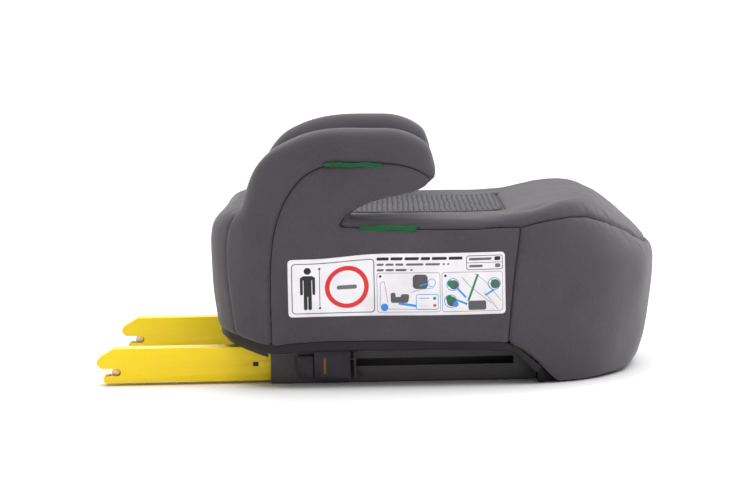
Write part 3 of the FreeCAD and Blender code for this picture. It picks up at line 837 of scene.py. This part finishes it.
def stroke(u, v, start, end, thick):
    """A straight stroke of ink, as two bands: across it and along it."""
    way = np.subtract(end, start)
    length = np.hypot(*way)
    way = way / length
    along = (u - start[0]) * way[0] + (v - start[1]) * way[1]
    across = (v - start[1]) * way[0] - (u - start[0]) * way[1]
    return [(across, -thick / 2, thick / 2), (along, 0.0, length)]


def label_print(u, v):
    """Frames, a plain figure, an arrow, a ring, bars in place of words, and simple pictures."""
    def put(tone, shape, *size):
        shapes.append((tone, shape(u, v, *size)))

    shapes = []
    put("grey", border, 3.7, 3.5, 77.5, 51.5, 3, 0.9)
    put("black", disc, 17.8, 44.6, 3.3)
    for place in ((11, 21.5, 13.6, 39, 1.3), (22, 21.5, 24.6, 39, 1.3), (14.2, 20, 21.4, 40, 1),
                  (14.2, 7, 17.5, 24, 1), (18.1, 7, 21.4, 24, 1), (12.2, 35.8, 23.4, 40, 2)):
        put("black", block, *place)
    put("black", stroke, (28.6, 8.5), (28.6, 46.5), 0.6)
    put("black", disc, 28.6, 8.6, 1.2)
    put("black", disc, 28.6, 46.4, 1.2)
    put("red", ring, 53, 27.5, 17.6, 4.2)
    put("grey", block, 44, 25.6, 62, 29.4, 1.2)
    for top, tall, tone, spans in (
            (52.6, 2.7, "black", ((80, 91), (92.5, 103.5), (105, 118), (119.5, 128), (129.5, 143),
                                  (144.5, 157))),
            (47.1, 2.0, "grey", ((80, 86.5), (87.8, 95.4), (96.6, 104), (106, 122), (123.4, 137),
                                 (139, 141.2), (143, 145.2))),
            (42.2, 2.0, "grey", ((80, 86.5), (87.8, 95.4), (96.6, 107), (110, 112.2)))):
        for left, right in spans:
            put(tone, block, left, top - tall, right, top, 0.5)
    put("grey", border, 160.6, 40.6, 192.6, 53, 1.5, 0.7)
    put("grey", stroke, (160.6, 46.8), (192.6, 46.8), 0.5)
    for place in ((162.5, 48.9, 183, 51.2, 0.4), (162.5, 42.6, 175, 44.9, 0.4),
                  (186, 42.2, 190.6, 45.6, 0.5)):
        put("grey", block, *place)
    put("black", block, 185.4, 48.4, 190.8, 52, 0.6)
    put("light", border, 80, 3.2, 136.5, 38.6, 2, 0.6)
    put("light", border, 138.3, 3.2, 192.4, 38.6, 2, 0.6)
    put("black", disc, 83, 35.6, 1.3)
    put("black", disc, 141.3, 35.6, 1.3)
    for start, end in (((82.6, 9), (83, 30)), ((83, 30), (86.5, 31)), ((86.5, 31), (89.5, 12)),
                       ((89, 6), (133, 5.6)), ((110, 21), (121, 24)), ((121, 24), (131, 25)),
                       ((156, 34), (163, 26)), ((163, 26), (182, 10)), ((168, 37), (177, 30)),
                       ((177, 30), (191, 12)), ((176, 20), (188, 4.4))):
        put("light", stroke, start, end, 0.6)
    for place in ((112, 24, 125.5, 37, 3.4), (92, 11.6, 108, 17, 2), (92, 12, 96.5, 21, 2),
                  (101, 14, 108.5, 19.5, 1.5)):
        put("dark", block, *place)
    put("blue", disc, 86.4, 7.6, 3.5)
    put("blue", stroke, (99, 11.2), (115, 8.6), 2.2)
    put("blue", border, 115, 5.4, 134.6, 19, 1.5, 0.6)
    put("blue", ring, 129, 29.5, 3.4, 0.6)
    put("blue", stroke, (118, 27), (126, 29), 1.2)
    put("green", disc, 131.4, 15.4, 1.5)
    put("red", disc, 131.4, 9, 1.5)
    for place in ((117, 14.9, 127.5, 16, 0.3), (117, 8.5, 127.5, 9.6, 0.3)):
        put("grey", block, *place)
    for x, y, radius in ((148, 27.5, 5.4), (145.8, 12.6, 5.6), (185, 27.5, 5.4)):
        put("dark", disc, x + 0.8, y - 0.2, radius - 1.2)
        put("blue", ring, x, y, radius, 0.7)
    put("green", disc, 146.2, 28.4, 3.2)
    put("green", disc, 144.6, 15, 3.0)
    put("blue", disc, 150.2, 9.8, 2.6)
    for rise in (-2.6, 0, 2.6):
        put("green", stroke, (182.6, 28.4 + rise), (187.4, 26.8 + rise), 1.0)
    put("green", stroke, (170.5, 36.5), (161.5, 12.5), 1.9)
    put("dark", block, 161.5, 4.2, 177.5, 12.6, 1.6)
    put("blue", stroke, (152, 24), (159.6, 15.6), 1.8)
    put("blue", stroke, (151, 13.6), (160.6, 9.6), 1.8)
    put("blue", stroke, (184.6, 22), (176.6, 17.2), 1.6)
    return shapes


def build_label(tree):
    """The side label laid on the cover, the names of its inks, and the ink of each face."""
    wide, tall = LABEL_SIZE
    u, v = np.meshgrid(np.linspace(0, wide, LABEL_COLUMNS), np.linspace(0, tall, LABEL_ROWS), indexing="ij")
    points = as_rows(u, v)
    triangles = as_triangles(grid_quads(LABEL_COLUMNS, LABEL_ROWS))
    shapes = [("white", block(*points.T, 0.1, 0.1, wide - 0.1, tall - 0.1, LABEL_ROUND))]
    shapes += label_print(*points.T)
    bands = [band for _, parts in shapes for band in parts]
    owner = [n for n, (_, parts) in enumerate(shapes) for _ in parts]
    values = np.column_stack([field for field, _, _ in bands])

    def inside(held, shape, spare):
        kept = np.ones(len(held), bool)
        for column, (_, low, high) in enumerate(bands):
            if owner[column] == shape:
                kept &= (held[:, column] > low - spare) & (held[:, column] < high + spare)
        return kept

    for column, (_, low, high) in enumerate(bands):
        for level in (low, high):
            if level > NO_END:
                near = inside(values, owner[column], 2.5)
                points, values, triangles = split_at(level, column, points, values, triangles,
                                                     near, 0.02)
    middle = values[triangles].mean(1)
    kept = inside(middle, 0, 0.0)
    triangles, middle = triangles[kept], middle[kept]
    inks = ["white", "grey", "black", "red", "dark", "blue", "green", "light"]
    ink = np.zeros(len(triangles), int)
    for shape, (tone, _) in enumerate(shapes):
        ink[inside(middle, shape, 0.0)] = inks.index(tone)
    used = np.unique(triangles)
    number = np.zeros(len(points), int)
    number[used] = np.arange(len(used))
    points, triangles = points[used], number[triangles]
    placed = []
    for pu, pv in points:
        narrow = 0.075 * float(ramp(pu, 88, 20))
        x, z = LABEL_CORNER[0] + pu - 1.2, LABEL_CORNER[1] + pv * (1 - narrow) + 0.4 * np.sin(pu / 31)
        hit = touch(tree, (x, -260, z), (0, 1, 0))
        lip = box_gap(np.array(pu), np.array(pv), 0, 0, wide, tall, LABEL_ROUND)
        placed.append((x, hit[1] - 0.55 + 0.35 * float(ramp(lip, -1.2, 0)), z))
    solid, faces = thicken(np.array(placed), triangles, np.array((0, 0.9, 0)))
    slots = np.zeros(len(faces), np.int32)
    slots[:len(ink)] = ink
    return make_mesh("side_label_patch", solid, faces), inks, slots


# ---------------------------------------------------------------- moulded and metal parts

# The sleeve's tip, as (z, x): pointed, as CAD has it, and blunt and rounded, as it looks.
CAD_NOSE = np.array([(15.9, -252.7), (20.2, -256.9), (21.6, -256.9), (33.2, -241)], float)
NOSE = np.array([(15.9, -252.7), (17.2, -254.4), (18.6, -255.9), (20, -256.8), (21, -257), (22.6, -257),
                 (24.2, -256.4), (25.8, -255), (27.4, -252.6), (29, -249.6), (31, -246),
                 (33.2, -242.5)], float)
SLEEVE_MIDDLE, THROAT_HALF = 140, 12


def round_nose(work):
    """Gives the sleeve's pointed tip its full, rounded outline."""
    for z, _ in NOSE:
        bmesh.ops.bisect_plane(work, geom=work.verts[:] + work.edges[:] + work.faces[:], dist=1e-6,
                               plane_co=(0, 0, z * MM), plane_no=(0, 0, 1))
    for vert in work.verts:
        x, y, z = np.array(vert.co) / MM
        outer = abs(abs(y) - SLEEVE_MIDDLE) > THROAT_HALF
        if outer and NOSE[0, 0] - 0.01 < z < NOSE[-1, 0] + 0.01 and x < -238:
            if x < height_on(CAD_NOSE, z) + 1.6:
                vert.co.x = height_on(NOSE, z) * MM


def copied(node, suffix):
    """A copy of a CAD part that stands for it."""
    obj = add_object(node + suffix, nodes[node].data.copy())
    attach(obj, nodes[node]["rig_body"])
    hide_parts(node)
    return obj


def bevelled(node, width, segments=2, angle=32.0, nose=False):
    """A copy of a CAD part with its outer edges broken by a small rounding."""
    obj = copied(node, "_moulded")
    mesh = obj.data
    work = bmesh.new()
    work.from_mesh(mesh)
    bmesh.ops.remove_doubles(work, verts=work.verts, dist=2e-6)
    bmesh.ops.dissolve_limit(work, angle_limit=np.radians(0.6), verts=work.verts, edges=work.edges)
    if nose:
        round_nose(work)
    for face in work.faces:
        face.smooth = True
    weight = work.edges.layers.float.new("bevel_weight_edge")
    for edge in work.edges:
        if edge.is_manifold and edge.is_convex and edge.calc_face_angle() > np.radians(angle):
            edge[weight] = 1.0
    work.to_mesh(mesh)
    work.free()
    bevel = obj.modifiers.new("edges", "BEVEL")
    bevel.width = width * MM
    bevel.segments = segments
    bevel.limit_method = "WEIGHT"
    bevel.use_clamp_overlap = True
    bevel.harden_normals = True
    done = bpy.data.meshes.new_from_object(as_seen(obj))
    obj.modifiers.clear()
    obj.data = done
    return obj


# ---------------------------------------------------------------- materials

def linear(red, green, blue):
    """A display colour, 0 to 255, as the shader takes it."""
    parts = [c / 255 for c in (red, green, blue)]
    return tuple(c / 12.92 if c <= 0.04045 else ((c + 0.055) / 1.055) ** 2.4 for c in parts) + (1.0,)


class Shader:
    """A principled material, with short names for the nodes used here. Colours are 0 to 255."""

    def __init__(self, name, roughness, metallic=0.0, specular=0.5, sheen=0.0):
        self.material = bpy.data.materials.new(name)
        self.material.use_nodes = True
        self.tree = self.material.node_tree
        self.shader = self.tree.nodes["Principled BSDF"]
        self.set("Roughness", roughness)
        self.set("Metallic", metallic)
        self.set("Specular IOR Level", specular)
        self.set("Sheen Weight", sheen)
        self.place = self.tree.nodes.new("ShaderNodeTexCoord").outputs["Object"]

    def set(self, name, value):
        self.shader.inputs[name].default_value = value

    def link(self, source, target):
        self.tree.links.new(source, target)

    def node(self, kind, **values):
        made = self.tree.nodes.new(kind)
        for name, value in values.items():
            made.inputs[name.replace("_", " ")].default_value = value
        return made

    def stretched(self, x, y, z):
        mapping = self.node("ShaderNodeMapping", Scale=(x, y, z))
        self.link(self.place, mapping.inputs["Vector"])
        return mapping.outputs["Vector"]

    def noise(self, scale, detail=2.0, vector=None):
        made = self.node("ShaderNodeTexNoise", Scale=scale, Detail=detail, Roughness=0.6)
        self.link(vector or self.place, made.inputs["Vector"])
        return made.outputs["Fac"]

    def cells(self, scale):
        made = self.node("ShaderNodeTexVoronoi", Scale=scale, Randomness=0.55)
        self.link(self.place, made.inputs["Vector"])
        return made.outputs["Distance"]

    def math(self, operation, first, second):
        made = self.tree.nodes.new("ShaderNodeMath")
        made.operation = operation
        for socket, value in zip(made.inputs, (first, second)):
            if isinstance(value, (int, float)):
                socket.default_value = value
            else:
                self.link(value, socket)
        return made.outputs[0]

    def total(self, *parts):
        """The sum of values, each times its weight."""
        shares = [self.math("MULTIPLY", value, weight) for value, weight in parts]
        for share in shares[1:]:
            shares[0] = self.math("ADD", shares[0], share)
        return shares[0]

    def range(self, value, low, high, start=0.3, end=0.7):
        made = self.node("ShaderNodeMapRange", From_Min=start, From_Max=end, To_Min=low, To_Max=high)
        self.link(value, made.inputs["Value"])
        return made.outputs["Result"]

    def mix(self, factor, first, second):
        made = self.tree.nodes.new("ShaderNodeMix")
        made.data_type = "RGBA"
        self.link(factor, made.inputs[0])
        for socket, value in ((made.inputs[6], first), (made.inputs[7], second)):
            if isinstance(value, tuple):
                socket.default_value = linear(*value)
            else:
                self.link(value, socket)
        return made.outputs[2]

    def colour(self, value):
        self.link(value, self.shader.inputs["Base Color"])

    def rough(self, value):
        self.link(value, self.shader.inputs["Roughness"])

    def bump(self, height, strength, distance):
        made = self.node("ShaderNodeBump", Strength=strength, Distance=distance * MM)
        self.link(height, made.inputs["Height"])
        self.link(made.outputs["Normal"], self.shader.inputs["Normal"])


def fabric(name, dark, light, loop=1.1, grain=0.25, sheen=0.25, strength=0.5):
    """A fine knit: small loops in upright rows, with soft cloudy variation."""
    s = Shader(name, 0.92, specular=0.2, sheen=sheen)
    s.set("Sheen Roughness", 0.45)
    rows = s.noise(1000 / loop, 2.0, s.stretched(1.0, 1.0, 0.25))
    loops = s.cells(1000 / loop)
    cloud = s.noise(11.0, 3.0)
    tone = s.total((s.range(rows, 0, 1), grain), (s.range(cloud, 0, 1), 0.4), (loops, 0.3))
    s.colour(s.mix(tone, dark, light))
    s.rough(s.range(loops, 0.86, 0.98, 0.1, 0.7))
    s.bump(s.math("ADD", s.math("MULTIPLY", loops, 0.7), rows), strength, 0.35)
    return s.material


def moulded(name, dark, light, roughness=0.48, texture=0.28, strength=0.25):
    """Moulded plastic: a fine eroded texture, and faint scuffs that change its gloss."""
    s = Shader(name, roughness, specular=0.45)
    fine = s.noise(1000 / texture, 2.0)
    wear = s.noise(26.0, 4.0)
    speck = s.noise(420.0, 3.0)
    tone = s.total((s.range(wear, 0, 1), 0.6), (s.range(speck, 0, 1), 0.4))
    s.colour(s.mix(tone, dark, light))
    s.rough(s.math("ADD", s.range(wear, roughness - 0.07, roughness + 0.07), s.range(fine, -0.03, 0.03)))
    s.bump(fine, strength, 0.06)
    return s.material


def metal(name, dark, light, roughness=0.3):
    """Plated or bare metal with fine drawing marks and a cloudy finish."""
    s = Shader(name, roughness, metallic=1.0)
    cloud = s.noise(60.0, 3.0)
    marks = s.noise(2200.0, 2.0, s.stretched(0.05, 1.0, 1.0))
    s.colour(s.mix(s.range(cloud, 0, 1), dark, light))
    s.rough(s.range(marks, roughness - 0.08, roughness + 0.12))
    s.bump(marks, 0.15, 0.03)
    return s.material


def printed(name, dark, light, roughness=0.42):
    """Ink on a satin label: close satin threads, with a slight unevenness."""
    s = Shader(name, roughness, specular=0.4, sheen=0.08)
    threads = s.noise(2600.0, 1.0, s.stretched(1.0, 1.0, 0.15))
    cloud = s.noise(40.0, 2.0)
    s.colour(s.mix(s.range(cloud, 0, 1), dark, light))
    s.rough(s.range(threads, roughness - 0.05, roughness + 0.1))
    s.bump(threads, 0.3, 0.05)
    return s.material


LOOKS = {
    "cover_fabric": fabric("cover_knit", (66, 62, 67), (86, 82, 88), sheen=0.25),
    "insert_fabric": fabric("insert_mesh", (62, 61, 63), (94, 93, 95), 1.5, 0.3, 0.2, 0.9),
    # Painted shade: a darker copy of the insert's knit for the low faces between its ribs.
    "insert_valley_shade": fabric("insert_valley_shade", (44, 43, 45), (70, 69, 71), 1.2, 0.3, 0.1, 0.9),
    "guide_fabric": fabric("guide_weave", (12, 70, 38), (26, 108, 58), 0.9, 0.4, 0.2, 0.8),
    # One dark thread colour: real thread on the insert's stitches, and painted shade along the cover's seam
    # grooves.
    "thread_and_seam_shade": fabric("sewing_thread_and_seam_shade", (34, 31, 34), (58, 55, 59), 0.5, 0.3, 0.2, 0.5),
    "rim": moulded("rim_plastic", (10, 7, 9), (18, 14, 17), 0.6),
    "black_plastic": moulded("black_plastic", (24, 22, 24), (36, 33, 35), 0.55),
    "rail_plastic": moulded("rail_plastic", (68, 64, 66), (80, 76, 78), 0.5),
    "button_plastic": moulded("button_plastic", (48, 43, 48), (60, 54, 60), 0.5),
    "yellow_plastic": moulded("yellow_plastic", (253, 216, 4), (255, 224, 24), 0.5, 0.3, 0.15),
    "red_plastic": moulded("red_plastic", (228, 20, 28), (246, 36, 40), 0.4),
    "green_plastic": moulded("green_plastic", (0, 150, 80), (14, 172, 94), 0.4),
    "yellow_zinc": metal("yellow_zinc", (226, 196, 140), (244, 226, 184), 0.4),
    "steel": metal("bright_steel", (168, 166, 164), (206, 204, 202), 0.28),
}
INKS = {
    "white": printed("label_satin", (232, 228, 233), (246, 243, 247)),
    "grey": printed("ink_grey", (92, 92, 96), (112, 112, 116)),
    "black": printed("ink_black", (26, 25, 28), (38, 37, 40)),
    "red": printed("ink_red", (214, 34, 38), (226, 44, 46)),
    "dark": printed("ink_charcoal", (78, 78, 82), (98, 98, 102)),
    "blue": printed("ink_blue", (34, 140, 222), (50, 156, 234)),
    "green": printed("ink_green", (10, 120, 70), (24, 136, 84)),
    "light": printed("ink_light", (150, 150, 154), (172, 172, 176)),
}


def dress(obj, *looks, faces=None):
    """Gives an object its materials, and each face its own where faces lists them."""
    obj.data.materials.clear()
    for look in looks:
        obj.data.materials.append(look)
    if faces is not None:
        obj.data.polygons.foreach_set("material_index", faces)


def finish_piece(obj, body, slot, *replaced, looks=None, faces=None):
    """Dresses a new piece, fixes it to its body, and hides the CAD parts it stands for."""
    dress(obj, *(looks or [LOOKS[slot]]), faces=faces)
    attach(obj, body)
    if replaced:
        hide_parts(*replaced)


def finish_copy(obj, look):
    """Dresses a copy of a CAD part."""
    dress(obj, LOOKS[look])


def surface_tree(obj):
    """A piece's surface, for finding where rays meet it."""
    return BVHTree.FromObject(obj, bpy.context.evaluated_depsgraph_get())


# ---------------------------------------------------------------- putting it together

# The cover's second material paints shade into its seam grooves.
cover, seam_shade = build_cover()
finish_piece(cover, "seat", "cover_fabric", "seat_cover", "seat_core", "right_armrest_pad",
             "left_armrest_pad", looks=[LOOKS["cover_fabric"], LOOKS["thread_and_seam_shade"]], faces=seam_shade)
cover_tree = surface_tree(cover)

# The insert's second material paints shade between its ribs.
insert, shaded_valleys = build_insert()
finish_piece(insert, "seat", "insert_fabric", "seat_insert",
             looks=[LOOKS["insert_fabric"], LOOKS["insert_valley_shade"]], faces=shaded_valleys)
stitch_line = INSERT_OUTLINE * (0.972, 0.974) + (0.3, 0)
stitches = build_stitches("insert_stitches", stitch_line, surface_tree(insert))
finish_piece(stitches, "seat", "insert_fabric", looks=[LOOKS["thread_and_seam_shade"]])
finish_piece(build_rim(), "seat", "black_plastic", looks=[LOOKS["rim"]])

for side_name, side in SIDES.items():
    for piece, node, line, shape in GUIDES:
        guide = build_guide(side_name + piece, line, cover_tree, side, **shape)
        finish_piece(guide, "seat", "guide_fabric", side_name + node)

label, inks, inked = build_label(cover_tree)
finish_piece(label, "seat", "label", "side_label", looks=[INKS[ink] for ink in inks], faces=inked)

for side_name in SIDES:
    for part, width, look in (("arm_cover", 0.9, "yellow_plastic"), ("rail", 0.8, "rail_plastic"),
                              ("rail_cap", 0.4, "rail_plastic"), ("carriage", 0.5, "button_plastic"),
                              ("length_button", 0.5, "button_plastic"),
                              ("hook_button", 0.6, "button_plastic"), ("latch_frame", 0.3, "yellow_zinc"),
                              ("latch_hook", 0.25, "yellow_zinc"), ("trigger", 0.3, "yellow_zinc"),
                              ("window_clip", 0.15, "black_plastic")):
        finish_copy(bevelled(side_name + "_" + part, width, nose=part == "arm_cover"), look)
    spring = copied(side_name + "_trigger_spring", "_coil")
    finish_copy(spring, "steel")
    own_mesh(spring)
    for part, look in (("hook_pin", "steel"), ("indicator_red", "red_plastic"),
                       ("indicator_green", "green_plastic"), ("release_rod", "steel"),
                       ("lock_pawl", "steel"), ("armrest_core", "black_plastic")):
        dress(nodes[side_name + "_" + part], LOOKS[look])
finish_copy(bevelled("base_shell", 1.0), "black_plastic")
dress(nodes["rail_screws"], LOOKS["steel"])


# ---------------------------------------------------------------- camera, floor and light

CAMERA_TURN = (-0.005704, 0.080510, 0.019863)
CAMERA_PLACE = Vector((16.724, -3033.489, 352.687)) * MM
CAMERA_LENS = 151.86
FLOOR_HALF = 60.0
FLOOR_DARK, FLOOR_LIGHT = (246.99,) * 3, (249.31,) * 3
BACKDROP_STRENGTH, GLOW_STRENGTH = 1.05, 0.36


def build_camera():
    """A long lens almost square to the seat's side, a little above it."""
    yaw, pitch, roll = CAMERA_TURN
    forward = Vector((np.sin(yaw) * np.cos(pitch), np.cos(yaw) * np.cos(pitch), -np.sin(pitch)))
    right = Vector((np.cos(yaw), -np.sin(yaw), 0))
    up = right.cross(forward)
    across = right * np.cos(roll) - up * np.sin(roll)
    upright = right * np.sin(roll) + up * np.cos(roll)
    data = bpy.data.cameras.new("camera")
    data.sensor_width = 36.0
    data.lens = CAMERA_LENS
    data.clip_end = 200.0
    camera = add_object("camera", data)
    turn = Matrix((across, upright, -forward)).transposed()
    camera.matrix_world = Matrix.Translation(CAMERA_PLACE) @ turn.to_4x4()
    bpy.context.scene.camera = camera


def build_floor():
    """A plain pale floor, far wider than the view."""
    points = np.array([(-1, -1, 0), (1, -1, 0), (1, 1, 0), (-1, 1, 0)], float) * FLOOR_HALF
    floor = make_mesh("floor", points, np.array([[0, 1, 2, 3]]), 1.0)
    s = Shader("floor_paper", 0.9, specular=0.1)
    s.colour(s.mix(s.noise(3.0, 2.0), FLOOR_DARK, FLOOR_LIGHT))
    dress(floor, s.material)


def sun(name, strength, spread, toward):
    """A wide, soft sun that shines in one direction."""
    data = bpy.data.lights.new(name, "SUN")
    data.energy = strength
    data.angle = np.radians(spread)
    add_object(name, data).rotation_euler = Vector(toward).to_track_quat("-Z", "Y").to_euler()


def build_light():
    """Three soft suns and an even glow. The camera sees the glow brighter, as a white backdrop."""
    world = bpy.data.worlds.new("studio")
    world.use_nodes = True
    tree = world.node_tree
    backdrop = tree.nodes["Background"]
    glow = tree.nodes.new("ShaderNodeBackground")
    for node, strength in ((backdrop, BACKDROP_STRENGTH), (glow, GLOW_STRENGTH)):
        node.inputs["Color"].default_value = (1, 1, 1, 1)
        node.inputs["Strength"].default_value = strength
    switch = tree.nodes.new("ShaderNodeMixShader")
    path = tree.nodes.new("ShaderNodeLightPath")
    tree.links.new(path.outputs["Is Camera Ray"], switch.inputs["Fac"])
    tree.links.new(glow.outputs["Background"], switch.inputs[1])
    tree.links.new(backdrop.outputs["Background"], switch.inputs[2])
    tree.links.new(switch.outputs["Shader"], tree.nodes["World Output"].inputs["Surface"])
    bpy.context.scene.world = world
    sun("overhead", 2.7, 90, (-0.22, -0.08, -1.0))
    sun("behind", 1.7, 70, (-0.15, -0.85, -0.6))
    sun("fill", 0.56, 90, (-0.2, 1.0, -0.25))


build_camera()
build_floor()
build_light()
bpy.context.scene.view_settings.view_transform = "Standard"
